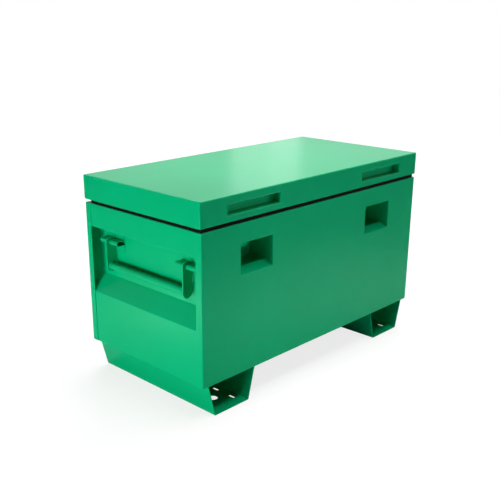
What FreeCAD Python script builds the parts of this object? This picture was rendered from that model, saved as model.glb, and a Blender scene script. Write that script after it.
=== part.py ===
"""Jobsite storage box: a folded steel chest with a hinged lid, on two fork skids.

Frame: X runs along the length, the front faces -Y, Z is up. The origin is at the middle of the
footprint, on the ground. Left and right are as seen from the front. All sizes are millimetres.

Left-hand pieces are modelled and the right-hand ones are their mirror images. A piece is either a
PartDesign body padded from a sketched outline, or a boolean of primitives. Every size comes from the
spreadsheet "Sizes", through the formulas below.
"""
import FreeCAD, Part
import math
import os
import re

import Sketcher

Vector = FreeCAD.Vector

# ---------------------------------------------------------------- driving dimensions
SIZES = {
    # body
    "box_length": 1219.0,
    "box_depth": 609.0,
    "body_height": 536.8,
    "gauge": 2.0,
    "corner_flange": 28.0,
    "bend_radius": 3.0,
    "top_flange": 25.0,
    "floor_flange": 25.0,
    # skids
    "skid_height": 122.0,
    "skid_gauge": 3.0,
    "skid_bend_radius": 5.0,
    "skid_inset": 27.0,
    "skid_setback": 4.0,
    "skid_top_width": 230.0,
    "skid_side_slope": 31.5,
    "skid_weld_flange": 20.0,
    "caster_from_end": 96.5,
    "caster_hole_radius": 18.0,
    "caster_slot_spacing": 110.0,
    "caster_row_spacing": 82.0,
    "caster_slot_radius": 5.5,
    "caster_slot_length": 29.0,
    # handle recess in the end panels
    "recess_drop": 86.4,
    "recess_depth": 53.5,
    "recess_wall": 188.4,
    "recess_slope": 61.0,
    # drop handles
    "pivot_drop": 49.4,
    "pivot_standoff": 26.0,
    "arm_from_side": 100.5,
    "arm_width": 41.0,
    "arm_gauge": 5.0,
    "arm_reach": 89.5,
    "grip_radius": 13.35,
    "grip_wall": 2.5,
    "handle_pin_radius": 6.5,
    "pin_clearance": 0.08,
    "handle_pin_length": 60.0,
    "strap_gauge": 3.0,
    "strap_length": 98.0,
    "strap_foot": 25.0,
    "strap_foot_top": 18.0,
    "arm_side_gap": 1.0,
    # rim and weatherstrip
    "seal_setback": 7.0,
    "rear_seal_setback": 28.0,
    "seal_skin": 3.0,
    "seal_width": 14.0,
    "rim_width": 17.0,
    "rim_height": 10.0,
    "rim_lip": 11.0,
    "seal_gap": 0.3,
    # padlock pockets, staples and hasps
    "pocket_from_end": 259.5,
    "pocket_width": 159.0,
    "pocket_height": 110.0,
    "pocket_drop": 69.2,
    "pocket_depth": 110.0,
    "pocket_sill_run": 30.0,
    "pocket_sill_rise": 17.0,
    "hasp_width": 50.0,
    "hasp_gauge": 6.0,
    "hasp_setback": 69.5,
    "hasp_reach": 41.5,
    "hasp_foot": 40.0,
    "hasp_swing_room": 12.0,
    "hasp_gap": 1.5,
    "staple_gauge": 5.0,
    "staple_width": 60.0,
    "staple_foot": 20.0,
    "padlock_hole_radius": 7.0,
    "padlock_hole_up": 18.0,
    # lid
    "lid_gap": 13.5,
    "lid_height": 88.2,
    "lid_overhang": 4.0,
    "lid_flange": 25.0,
    "lid_edge_radius": 5.0,
    "grip_from_end": 245.0,
    "grip_width": 261.0,
    "grip_height": 44.0,
    "grip_up": 18.7,
    "grip_depth": 32.0,
    "grip_edge_radius": 5.0,
    "stiffener_width": 80.0,
    "stiffener_crown": 50.0,
    "stiffener_depth": 25.0,
    "stiffener_grip_gap": 7.0,
    "hinge_rail_upstand": 30.0,
    # hinge
    "knuckle_radius": 4.5,
    "knuckle_bore_clearance": 0.05,
    "hinge_pin_radius": 2.5,
    "hinge_end_gap": 1.0,
    "hinge_leaf_gauge": 1.6,
    "hinge_leaf_height": 45.0,
    "hinge_neck": 3.2,
    "knuckle_pairs": 11,
    "knuckle_gap": 0.6,
    # gas struts, placed from the hinge axis
    "strut_lid_back": 80.0,
    "strut_lid_up": 30.0,
    "strut_body_back": 300.0,
    "strut_body_down": 160.0,
    "strut_standoff": 18.0,
    "strut_radius": 11.0,
    "strut_wall": 1.5,
    "strut_gland": 12.0,
    "strut_rod_radius": 4.0,
    "strut_running_gap": 0.08,
    "strut_exposed": 12.0,
    "strut_eye_radius": 9.0,
    "strut_eye_width": 10.0,
    "strut_stud_radius": 5.0,
    "strut_piston_length": 15.0,
    "strut_open_gap": 0.5,
    "bracket_gauge": 3.0,
    "bracket_width": 40.0,
    "bracket_height": 60.0,
    "bracket_foot": 30.0,
    "bracket_below_stud": 12.0,
    "stud_head_radius": 7.0,
    "stud_head": 2.0,
}

doc = FreeCAD.newDocument("JobsiteBox")
sheet = doc.addObject("Spreadsheet::Sheet", "Sizes")
for row, (alias, size) in enumerate(SIZES.items(), start=1):
    sheet.set(f"A{row}", alias)
    sheet.set(f"B{row}", str(size))
    sheet.setAlias(f"B{row}", alias)
doc.recompute()

# ---------------------------------------------------------------- shared planes, as formulas
HALF_LENGTH = "(box_length / 2)"
HALF_DEPTH = "(box_depth / 2)"
SIDE_INNER = "(box_depth / 2 - gauge)"
END_OUTER = "(box_length / 2 - gauge)"
END_INNER = "(box_length / 2 - 2 * gauge)"
FLOOR = "skid_height"
BODY_TOP = "(skid_height + body_height)"
LID_BOTTOM = "(skid_height + body_height + lid_gap)"
LID_SKIN = "(skid_height + body_height + lid_gap + lid_height - gauge)"
LID_END = "(box_length / 2 + lid_overhang)"

# inner edges of the flanges round the opening
FRONT_FLANGE_EDGE = "(-box_depth / 2 + gauge + top_flange)"
END_FLANGE_EDGE = "(box_length / 2 - seal_setback - seal_skin - rim_width)"
SHELF_EDGE = "(box_depth / 2 - rear_seal_setback - seal_skin - rim_width)"

# the hinge axis, with the barrel flush with the rear of the box
HINGE_Y = "(box_depth / 2 - knuckle_radius)"
HINGE_Z = "(skid_height + body_height + lid_gap / 2)"
LEAF_FACE = "(box_depth / 2 - gauge - hinge_leaf_gauge)"
HALF_HINGE = "(box_length / 2 + lid_overhang - gauge - lid_flange - hinge_end_gap)"

# the handle recess and the handle in it
RECESS_TOP = "(skid_height + body_height - recess_drop)"
RECESS_WALL = "(box_length / 2 - gauge - recess_depth)"
PIVOT_X = "(box_length / 2 - gauge - recess_depth + pivot_standoff)"
PIVOT_Z = "(skid_height + body_height - recess_drop - pivot_drop)"
GRIP_Z = "(skid_height + body_height - recess_drop - pivot_drop - arm_reach)"
ARM_Y = "(box_depth / 2 - arm_from_side)"

# the padlock pockets and the hasps that come down into them
GRIP_X = "(box_length / 2 - grip_from_end)"
GRIP_INNER = "(box_length / 2 - grip_from_end - grip_width / 2 - gauge)"
POCKET_X = "(box_length / 2 - pocket_from_end)"
POCKET_TOP = "(skid_height + body_height - pocket_drop)"
POCKET_SILL = "(skid_height + body_height - pocket_drop - pocket_height)"
POCKET_BACK = "(-box_depth / 2 + gauge + pocket_depth)"
HASP_Y = "(-box_depth / 2 + hasp_setback)"
STAPLE_Y = "(-box_depth / 2 + hasp_setback + hasp_gauge + hasp_gap)"
HASP_END = "(skid_height + body_height - pocket_drop - hasp_reach)"
PADLOCK_Z = "(skid_height + body_height - pocket_drop - hasp_reach + padlock_hole_up)"

# the gas struts
STRUT_X = "(box_length / 2 - gauge - recess_depth - gauge - strut_standoff)"
RECESS_BACK = "(box_length / 2 - 2 * gauge - recess_depth)"
STRUT_LID_Y = "(box_depth / 2 - knuckle_radius - strut_lid_back)"
STRUT_LID_Z = "(skid_height + body_height + lid_gap / 2 + strut_lid_up)"
STRUT_BODY_Y = "(box_depth / 2 - knuckle_radius - strut_body_back)"
STRUT_BODY_Z = "(skid_height + body_height + lid_gap / 2 - strut_body_down)"
STRUT_RUN = "(strut_body_back - strut_lid_back)"
STRUT_RISE = "(strut_body_down + strut_lid_up)"
STRUT_LENGTH = f"sqrt({STRUT_RUN} * {STRUT_RUN} + {STRUT_RISE} * {STRUT_RISE})"

ALONG_X = FreeCAD.Rotation(Vector(0, 1, 0), 90)
ALONG_Y = FreeCAD.Rotation(Vector(-1, 0, 0), 90)
ALONG_Z = FreeCAD.Rotation()

pieces = []


# ---------------------------------------------------------------- helpers
def formula(text):
    """Turn the names in a formula into references to the sheet."""
    def reference(match):
        word = match.group(0)
        return "Sizes." + word if word in SIZES else word
    return re.sub(r"[a-z_][a-z_0-9]*", reference, str(text))


def block(name, x_span, y_span, z_span):
    """A box between two planes on each axis."""
    box = doc.addObject("Part::Box", name)
    for side, axis, (low, high) in zip(("Length", "Width", "Height"), "xyz", (x_span, y_span, z_span)):
        box.setExpression(side, formula(f"({high}) - ({low})"))
        box.setExpression(f"Placement.Base.{axis}", formula(low))
    return box


def cylinder(name, radius, rotation, length, base):
    """A cylinder of the given length that starts at a point and runs along an axis."""
    shape = doc.addObject("Part::Cylinder", name)
    shape.Placement = FreeCAD.Placement(Vector(), rotation)
    shape.setExpression("Radius", formula(radius))
    shape.setExpression("Height", formula(length))
    for axis, place in zip("xyz", base):
        shape.setExpression(f"Placement.Base.{axis}", formula(place))
    return shape


def fuse(name, parts):
    """Several shapes welded or formed as one."""
    joined = doc.addObject("Part::MultiFuse", name)
    joined.Shapes = parts
    joined.Refine = True
    return joined


def cut(name, base, tool):
    """A shape with another one taken out of it."""
    result = doc.addObject("Part::Cut", name)
    result.Base = base
    result.Tool = tool
    result.Refine = True
    return result


def mirrored(source, name, normal):
    """The mirror image of a shape about a plane through the origin."""
    image = doc.addObject("Part::Mirroring", name)
    image.Source = source
    image.Normal = normal
    image.Base = Vector()
    return image


def piece(shape, label):
    """Name a finished piece."""
    shape.Label = label
    pieces.append(shape)
    return shape


def left_and_right(shape, stem):
    """A finished piece at the left end and its mirror image at the right end."""
    piece(shape, f"{stem}_left")
    piece(mirrored(shape, f"{stem}_mirror", Vector(1, 0, 0)), f"{stem}_right")


def new_body(name):
    return doc.addObject("PartDesign::Body", name)


def origin_feature(body, role):
    return next(feature for feature in body.Origin.OriginFeatures if feature.Role == role)


def new_sketch(body, name, plane, offset=None):
    """A sketch on one of a body's origin planes, moved off it by a formula if one is given."""
    sketch = body.newObject("Sketcher::SketchObject", name)
    sketch.AttachmentSupport = [(origin_feature(body, plane), "")]
    sketch.MapMode = "FlatFace"
    if offset is not None:
        sketch.setExpression("AttachmentOffset.Base.z", formula(offset))
    return sketch


def fix_point(sketch, geometry, end, u, v):
    """Hold one point of a sketch at a place given by two formulas."""
    for direction, place in (("DistanceX", u), ("DistanceY", v)):
        index = sketch.addConstraint(Sketcher.Constraint(direction, -1, 1, geometry, end, 1.0))
        sketch.setExpression(f"Constraints[{index}]", formula(place))


def add_outline(sketch, points):
    """A closed outline of straight edges through points given as pairs of formulas."""
    count = len(points)
    first = sketch.GeometryCount
    turn = 2 * math.pi / count
    start = [Vector(10 * math.cos(turn * i), 10 * math.sin(turn * i), 0) for i in range(count)]
    for i in range(count):
        sketch.addGeometry(Part.LineSegment(start[i], start[(i + 1) % count]), False)
    for i in range(count):
        following = first + (i + 1) % count
        sketch.addConstraint(Sketcher.Constraint("Coincident", first + i, 2, following, 1))
    for i, (u, v) in enumerate(points):
        fix_point(sketch, first + i, 1, u, v)


def rectangle(u_span, v_span):
    """The corners of a rectangle between two planes each way."""
    return [
        (u_span[0], v_span[0]),
        (u_span[1], v_span[0]),
        (u_span[1], v_span[1]),
        (u_span[0], v_span[1]),
    ]


def add_circle(sketch, radius, u, v):
    """A circle with its centre and radius given as formulas."""
    index = sketch.addGeometry(Part.Circle(Vector(), Vector(0, 0, 1), 1.0), False)
    size = sketch.addConstraint(Sketcher.Constraint("Radius", index, 1.0))
    sketch.setExpression(f"Constraints[{size}]", formula(radius))
    fix_point(sketch, index, 3, u, v)


def pad(body, sketch, name, length, both_ways=True, reversed_way=False):
    """Pad a sketch by a length, centred on it or to one side."""
    feature = body.newObject("PartDesign::Pad", name)
    feature.Profile = sketch
    feature.setExpression("Length", formula(length))
    feature.SideType = "Symmetric" if both_ways else "One side"
    feature.Reversed = reversed_way
    return feature


def pocket(body, sketch, name, length, both_ways=True, reversed_way=False):
    """Cut a sketch out of a body by a length, centred on it or to one side."""
    feature = body.newObject("PartDesign::Pocket", name)
    feature.Profile = sketch
    feature.setExpression("Length", formula(length))
    feature.SideType = "Symmetric" if both_ways else "One side"
    feature.Reversed = reversed_way
    return feature


def padded_outline(name, plane, points, length):
    """A body made of one outline padded equally both ways from an origin plane."""
    body = new_body(name)
    sketch = new_sketch(body, f"{name}_outline", plane)
    add_outline(sketch, points)
    pad(body, sketch, f"{name}_pad", length)
    return body


def round_edges(body, feature, name, radius, wanted):
    """Fillet the edges of a feature for which wanted(edge box, feature box) is true."""
    doc.recompute()
    whole = feature.Shape.BoundBox
    chosen = []
    for index, edge in enumerate(feature.Shape.Edges, start=1):
        if wanted(edge.BoundBox, whole):
            chosen.append(f"Edge{index}")
    fillet = body.newObject("PartDesign::Fillet", name)
    fillet.Base = (feature, chosen)
    fillet.setExpression("Radius", formula(radius))
    return fillet


def same(first, second):
    return abs(first - second) < 0.01


def negative(text):
    return f"-({text})"


# ---------------------------------------------------------------- body shell
def side_panel(name, side):
    """A front or rear panel seen from above: the wall and a flange wrapped round each corner."""
    outer = f"{side} * {HALF_DEPTH}"
    inner = f"{side} * {SIDE_INNER}"
    flange = f"{side} * ({HALF_DEPTH} - corner_flange)"
    outline = [
        (negative(HALF_LENGTH), outer),
        (HALF_LENGTH, outer),
        (HALF_LENGTH, flange),
        (END_OUTER, flange),
        (END_OUTER, inner),
        (negative(END_OUTER), inner),
        (negative(END_OUTER), flange),
        (negative(HALF_LENGTH), flange),
    ]
    body = new_body(name)
    wall = new_sketch(body, f"{name}_plan", "XY_Plane", FLOOR)
    add_outline(wall, outline)
    wall_pad = pad(body, wall, f"{name}_wall", "body_height", both_ways=False)

    def at_corner(edge, whole):
        upright = edge.ZLength > 1
        at_end = same(edge.XMin, whole.XMin) or same(edge.XMax, whole.XMax)
        outside = same(edge.YMin, whole.YMin) if side == "-1" else same(edge.YMax, whole.YMax)
        return upright and at_end and outside

    round_edges(body, wall_pad, f"{name}_bend", "bend_radius", at_corner)
    return body


def front_panel():
    """The front panel has a flange turned in under the rim and two padlock openings."""
    body = side_panel("front_panel", "-1")
    flange = new_sketch(body, "front_flange_plan", "XY_Plane", BODY_TOP)
    x_span = (negative(END_INNER), END_INNER)
    y_span = (negative(SIDE_INNER), FRONT_FLANGE_EDGE)
    add_outline(flange, rectangle(x_span, y_span))
    pad(body, flange, "front_flange", "gauge", both_ways=False, reversed_way=True)
    openings = new_sketch(body, "padlock_openings", "XZ_Plane")
    for side in ("-1", "1"):
        middle = f"{side} * {POCKET_X}"
        span = (f"{middle} - pocket_width / 2", f"{middle} + pocket_width / 2")
        add_outline(openings, rectangle(span, (POCKET_SILL, POCKET_TOP)))
    pocket(body, openings, "padlock_cut", "2 * box_depth")
    piece(body, "front_panel")


def rear_panel():
    piece(side_panel("rear_panel", "1"), "rear_panel")


def end_panels():
    """One folded sheet: upper band, handle recess, slanted face and lower flat."""
    slant = "sqrt(recess_depth * recess_depth + recess_slope * recess_slope)"
    mitre = f"(gauge * ({slant} - recess_slope) / recess_depth)"
    wall_bottom = f"({RECESS_TOP} - recess_wall)"
    slope_bottom = f"({RECESS_TOP} - recess_wall - recess_slope)"
    outline = [
        (negative(END_OUTER), BODY_TOP),
        (negative(END_OUTER), RECESS_TOP),
        (negative(RECESS_WALL), RECESS_TOP),
        (negative(RECESS_WALL), wall_bottom),
        (negative(END_OUTER), slope_bottom),
        (negative(END_OUTER), FLOOR),
        (negative(END_INNER), FLOOR),
        (negative(END_INNER), f"{slope_bottom} - {mitre}"),
        (negative(RECESS_BACK), f"{wall_bottom} - {mitre}"),
        (negative(RECESS_BACK), f"{RECESS_TOP} + gauge"),
        (negative(END_INNER), f"{RECESS_TOP} + gauge"),
        (negative(END_INNER), BODY_TOP),
    ]
    body = padded_outline("end_panel", "XZ_Plane", outline, f"2 * {SIDE_INNER}")

    def outside_fold(edge, whole):
        outside = same(edge.XMax, whole.XMin)
        fold = edge.ZMin > whole.ZMin + 1 and edge.ZMax < whole.ZMax - 1
        return outside and fold and same(edge.ZMin, edge.ZMax)

    round_edges(body, body.Tip, "end_panel_bend", "bend_radius", outside_fold)
    flange = new_sketch(body, "end_flange_plan", "XY_Plane", BODY_TOP)
    x_span = (negative(END_INNER), negative(END_FLANGE_EDGE))
    add_outline(flange, rectangle(x_span, (FRONT_FLANGE_EDGE, SHELF_EDGE)))
    pad(body, flange, "end_flange", "gauge", both_ways=False, reversed_way=True)
    left_and_right(body, "end_panel")


def floor_pan():
    """The floor, turned up along the front and the rear."""
    lip = f"({FLOOR} + floor_flange)"
    inner = f"({SIDE_INNER} - gauge)"
    outline = [
        (negative(SIDE_INNER), FLOOR),
        (SIDE_INNER, FLOOR),
        (SIDE_INNER, lip),
        (inner, lip),
        (inner, f"{FLOOR} + gauge"),
        (negative(inner), f"{FLOOR} + gauge"),
        (negative(inner), lip),
        (negative(SIDE_INNER), lip),
    ]
    piece(padded_outline("floor_pan", "YZ_Plane", outline, f"2 * {END_INNER}"), "floor_pan")


def hinge_shelf():
    """The shelf under the rear rim, from the hinge leaf inwards, with its inner edge turned down."""
    outline = [
        (SHELF_EDGE, BODY_TOP),
        (SHELF_EDGE, f"{BODY_TOP} - floor_flange"),
        (f"{SHELF_EDGE} + gauge", f"{BODY_TOP} - floor_flange"),
        (f"{SHELF_EDGE} + gauge", f"{BODY_TOP} - gauge"),
        (LEAF_FACE, f"{BODY_TOP} - gauge"),
        (LEAF_FACE, BODY_TOP),
    ]
    piece(padded_outline("hinge_shelf", "YZ_Plane", outline, f"2 * {END_INNER}"), "hinge_shelf")


# ---------------------------------------------------------------- skids
def skids():
    """A hat section that runs front to rear, with a caster pattern near each end."""
    side_gauge = (
        "(skid_gauge * sqrt(skid_side_slope * skid_side_slope + skid_height * skid_height)"
        " / skid_height)"
    )
    outer_top = f"-({HALF_LENGTH} - skid_inset)"
    inner_top = f"({outer_top} + skid_top_width)"
    outline = [(outer_top, "skid_height"), (f"{outer_top} + skid_side_slope", "0")]
    outline += [(f"{inner_top} - skid_side_slope", "0"), (inner_top, "skid_height")]
    for top, sign in ((inner_top, "-1"), (outer_top, "1")):
        lip = f"{top} + {sign} * skid_weld_flange"
        under_lip = f"{top} + {sign} * ({side_gauge} + skid_side_slope * skid_gauge / skid_height)"
        on_base = f"{top} + {sign} * ({side_gauge} + skid_side_slope * (1 - skid_gauge / skid_height))"
        corners = [(lip, "skid_height"), (lip, "skid_height - skid_gauge")]
        corners += [(under_lip, "skid_height - skid_gauge"), (on_base, "skid_gauge")]
        outline += corners if sign == "-1" else corners[::-1]
    length = f"2 * ({HALF_DEPTH} - skid_setback)"
    body = padded_outline("skid", "XZ_Plane", outline, length)

    def bottom_fold(edge, whole):
        return same(edge.ZMax, whole.ZMin) and same(edge.XMin, edge.XMax)

    round_edges(body, body.Tip, "skid_bend", "skid_bend_radius", bottom_fold)

    middle = f"({outer_top} + skid_top_width / 2)"
    row = f"({HALF_DEPTH} - skid_setback - caster_from_end)"
    reach = "(caster_slot_length / 2 - caster_slot_radius)"
    round_holes = new_sketch(body, "caster_round_holes", "XY_Plane")
    slot_middles = new_sketch(body, "caster_slot_middles", "XY_Plane")
    for end in (-1, 1):
        add_circle(round_holes, "caster_hole_radius", middle, f"{end} * {row}")
        for across in (-1, 1):
            for along in (-1, 1):
                u = f"({middle} + {across} * caster_slot_spacing / 2)"
                v = f"({end} * {row} + {along} * caster_row_spacing / 2)"
                u_span = (f"{u} - caster_slot_radius", f"{u} + caster_slot_radius")
                add_outline(slot_middles, rectangle(u_span, (f"{v} - {reach}", f"{v} + {reach}")))
                for side in (-1, 1):
                    add_circle(round_holes, "caster_slot_radius", u, f"{v} + {side} * {reach}")
    pocket(body, round_holes, "caster_round_cut", "3 * skid_gauge")
    pocket(body, slot_middles, "caster_slot_cut", "3 * skid_gauge")
    left_and_right(body, "skid")


# ---------------------------------------------------------------- rim and weatherstrip
def rim_outline(outer, inner_sign):
    """The section of a rim rail: foot, upstand at the outside and a lip turned in at the top."""
    top = f"({BODY_TOP} + rim_height)"
    far = f"({outer} + {inner_sign} * rim_width)"
    near = f"({outer} + {inner_sign} * gauge)"
    lip = f"({outer} + {inner_sign} * rim_lip)"
    return [
        (outer, BODY_TOP),
        (far, BODY_TOP),
        (far, f"{BODY_TOP} + gauge"),
        (near, f"{BODY_TOP} + gauge"),
        (near, f"{top} - gauge"),
        (lip, f"{top} - gauge"),
        (lip, top),
        (outer, top),
    ]


def rim_rails():
    """Four rails round the opening; the end rails fit between the front and the rear one."""
    front = "(-box_depth / 2 + seal_setback + seal_skin)"
    rear = "(box_depth / 2 - rear_seal_setback - seal_skin)"
    end = "(box_length / 2 - seal_setback - seal_skin)"
    for label, outer, sign in (("rim_rail_front", front, "1"), ("rim_rail_rear", rear, "-1")):
        piece(padded_outline(label, "YZ_Plane", rim_outline(outer, sign), f"2 * {end}"), label)
    body = new_body("rim_rail_end")
    section = new_sketch(body, "rim_rail_end_outline", "XZ_Plane", f"-({front} + rim_width)")
    add_outline(section, rim_outline(negative(end), "1"))
    run = f"({rear} - rim_width) - ({front} + rim_width)"
    pad(body, section, "rim_rail_end_pad", run, both_ways=False, reversed_way=True)
    left_and_right(body, "rim_rail")


def weatherstrip():
    """A rubber ring: a skin down the outside of the rim and a broad seat on top for the lid."""
    front = "(-box_depth / 2 + seal_setback)"
    rear = "(box_depth / 2 - rear_seal_setback)"
    end = "(box_length / 2 - seal_setback)"
    body = new_body("weatherstrip")

    def ring(name, inset, bottom):
        plan = new_sketch(body, name, "XY_Plane", bottom)
        x_span = (f"-{end} + {inset}", f"{end} - {inset}")
        add_outline(plan, rectangle(x_span, (f"{front} + {inset}", f"{rear} - {inset}")))
        return plan

    pad(body, ring("seal_outside", "0", BODY_TOP), "seal_block", "lid_gap - seal_gap", both_ways=False)
    inside = ring("seal_inside", "seal_width", BODY_TOP)
    pocket(body, inside, "seal_hole", "lid_gap", both_ways=False, reversed_way=True)
    seat = ring("seal_seat", "seal_skin", BODY_TOP)
    pocket(body, seat, "seal_rebate", "rim_height", both_ways=False, reversed_way=True)
    piece(body, "weatherstrip")


# ---------------------------------------------------------------- padlock pockets
def lock_pockets():
    """A box behind each padlock opening, with a sill that slopes up and a slot for the hasp."""
    mouth = negative(SIDE_INNER)
    sill_end = f"({mouth} + pocket_sill_run)"
    base = f"({POCKET_SILL} + pocket_sill_rise)"

    def section(sheet_out):
        """The pocket seen from its end, grown outwards by a thickness."""
        return [
            (mouth, f"{POCKET_SILL} - {sheet_out}"),
            (sill_end, f"{base} - {sheet_out}"),
            (f"{POCKET_BACK} + {sheet_out}", f"{base} - {sheet_out}"),
            (f"{POCKET_BACK} + {sheet_out}", f"{POCKET_TOP} + {sheet_out}"),
            (mouth, f"{POCKET_TOP} + {sheet_out}"),
        ]

    body = new_body("lock_pocket")
    outside = new_sketch(body, "pocket_outside", "YZ_Plane", negative(POCKET_X))
    add_outline(outside, section("gauge"))
    pad(body, outside, "pocket_block", "pocket_width + 2 * gauge")
    inside = new_sketch(body, "pocket_inside", "YZ_Plane", negative(POCKET_X))
    add_outline(inside, section("0"))
    pocket(body, inside, "pocket_hollow", "pocket_width")
    slot = new_sketch(body, "hasp_slot", "XY_Plane", POCKET_TOP)
    x_span = (f"-{POCKET_X} - staple_width / 2", f"-{POCKET_X} + staple_width / 2")
    y_span = (f"{HASP_Y} - hasp_swing_room", f"{HASP_Y} + hasp_gauge + hasp_gap / 2")
    add_outline(slot, rectangle(x_span, y_span))
    pocket(body, slot, "hasp_slot_cut", "4 * gauge")
    left_and_right(body, "lock_pocket")


def tab_with_hole(name, outline, width, hole_from):
    """A bent tab across a pocket with a padlock hole through its upright leg."""
    body = new_body(name)
    section = new_sketch(body, f"{name}_section", "YZ_Plane", negative(POCKET_X))
    add_outline(section, outline)
    pad(body, section, f"{name}_pad", width)
    hole = cylinder(
        f"{name}_hole", "padlock_hole_radius", ALONG_Y, "2 * hasp_gauge",
        (negative(POCKET_X), f"{hole_from} - hasp_gauge / 2", PADLOCK_Z),
    )
    return cut(f"{name}_cut", body, hole)


def lock_staples():
    """The fixed plate that the padlock joins to the hasp, hung from the pocket's ceiling."""
    front = STAPLE_Y
    back = f"({STAPLE_Y} + staple_gauge)"
    outline = [
        (front, HASP_END),
        (back, HASP_END),
        (back, f"{POCKET_TOP} - staple_gauge"),
        (f"{back} + staple_foot", f"{POCKET_TOP} - staple_gauge"),
        (f"{back} + staple_foot", POCKET_TOP),
        (front, POCKET_TOP),
    ]
    left_and_right(tab_with_hole("lock_staple", outline, "staple_width", STAPLE_Y), "lock_staple")


def hasps():
    """The tongue on the lid that comes down through the pocket's slot in front of the staple."""
    back = f"({HASP_Y} + hasp_gauge)"
    outline = [
        (HASP_Y, HASP_END),
        (back, HASP_END),
        (back, f"{LID_SKIN} - hasp_gauge"),
        (f"{back} + hasp_foot", f"{LID_SKIN} - hasp_gauge"),
        (f"{back} + hasp_foot", LID_SKIN),
        (HASP_Y, LID_SKIN),
    ]
    left_and_right(tab_with_hole("hasp", outline, "hasp_width", HASP_Y), "hasp")


# ---------------------------------------------------------------- drop handles
def handle_bracket():
    """A strap bent round the pin, with feet on the recess wall and a gap for the arm."""
    nose = "(handle_pin_radius + pin_clearance + strap_gauge)"
    hollow = "(handle_pin_radius + pin_clearance)"
    wall = negative(RECESS_WALL)
    pivot = negative(PIVOT_X)
    foot_face = f"({wall} - strap_gauge)"
    near = f"({ARM_Y} - strap_length / 2)"
    far = f"({ARM_Y} + strap_length / 2)"
    y_span = (near, far)
    barrel = cylinder("strap_barrel", nose, ALONG_Y, "strap_length", (pivot, near, PIVOT_Z))
    legs = block("strap_legs", (pivot, wall), y_span, (f"{PIVOT_Z} - {nose}", f"{PIVOT_Z} + {nose}"))
    z_span = (f"{PIVOT_Z} - {nose} - strap_foot", f"{PIVOT_Z} + {nose} + strap_foot_top")
    feet = block("strap_feet", (foot_face, wall), y_span, z_span)
    outside = fuse("strap_outside", [barrel, legs, feet])
    bore = cylinder("strap_bore", hollow, ALONG_Y, "strap_length", (pivot, near, PIVOT_Z))
    z_span = (f"{PIVOT_Z} - {hollow}", f"{PIVOT_Z} + {hollow}")
    mouth = block("strap_mouth", (pivot, wall), y_span, z_span)
    slot_half = "(arm_gauge / 2 + arm_side_gap)"
    x_span = (f"{pivot} - 2 * {nose}", foot_face)
    y_span = (f"{ARM_Y} - {slot_half}", f"{ARM_Y} + {slot_half}")
    z_span = (f"{PIVOT_Z} - 2 * {nose}", f"{PIVOT_Z} + 2 * {nose}")
    arm_slot = block("strap_arm_slot", x_span, y_span, z_span)
    return cut("handle_bracket", outside, fuse("strap_inside", [bore, mouth, arm_slot]))


def handle_pin():
    """The pin that the arm turns on, held in the bracket's nose."""
    start = f"({ARM_Y} - handle_pin_length / 2)"
    base = (negative(PIVOT_X), start, PIVOT_Z)
    return cylinder("handle_pin", "handle_pin_radius", ALONG_Y, "handle_pin_length", base)


def handle_arm():
    """A flat bar with round ends: an eye on the pin, and the grip welded to the lower end."""
    x_middle = negative(PIVOT_X)
    inner = f"({ARM_Y} - arm_gauge / 2)"
    outer = f"({ARM_Y} + arm_gauge / 2)"
    x_span = (f"{x_middle} - arm_width / 2", f"{x_middle} + arm_width / 2")
    bar = block("arm_bar", x_span, (inner, outer), (GRIP_Z, PIVOT_Z))
    top = cylinder("arm_top", "arm_width / 2", ALONG_Y, "arm_gauge", (x_middle, inner, PIVOT_Z))
    bottom = cylinder("arm_bottom", "arm_width / 2", ALONG_Y, "arm_gauge", (x_middle, inner, GRIP_Z))
    blank = fuse("arm_blank", [bar, top, bottom])
    radius = "handle_pin_radius + pin_clearance"
    eye = cylinder("arm_eye", radius, ALONG_Y, "arm_gauge", (x_middle, inner, PIVOT_Z))
    return cut("handle_arm", blank, eye)


def handle_grip():
    """A round tube between the two arms."""
    start = f"-({ARM_Y} - arm_gauge / 2)"
    length = f"2 * {ARM_Y} - arm_gauge"
    base = (negative(PIVOT_X), start, GRIP_Z)
    outside = cylinder("grip_outside", "grip_radius", ALONG_Y, length, base)
    inside = cylinder("grip_inside", "grip_radius - grip_wall", ALONG_Y, length, base)
    return cut("handle_grip", outside, inside)


def handles():
    """Both handles, with a front and a rear pivot on each."""
    for stem, rear in (
        ("handle_bracket", handle_bracket()),
        ("handle_pin", handle_pin()),
        ("handle_arm", handle_arm()),
    ):
        front = mirrored(rear, f"{stem}_front", Vector(0, 1, 0))
        for end, (shape, label) in {"rear": (rear, "rear"), "front": (front, "front")}.items():
            piece(shape, f"{stem}_left_{label}")
            piece(mirrored(shape, f"{stem}_{end}_mirror", Vector(1, 0, 0)), f"{stem}_right_{label}")
    left_and_right(handle_grip(), "handle_grip")


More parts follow.
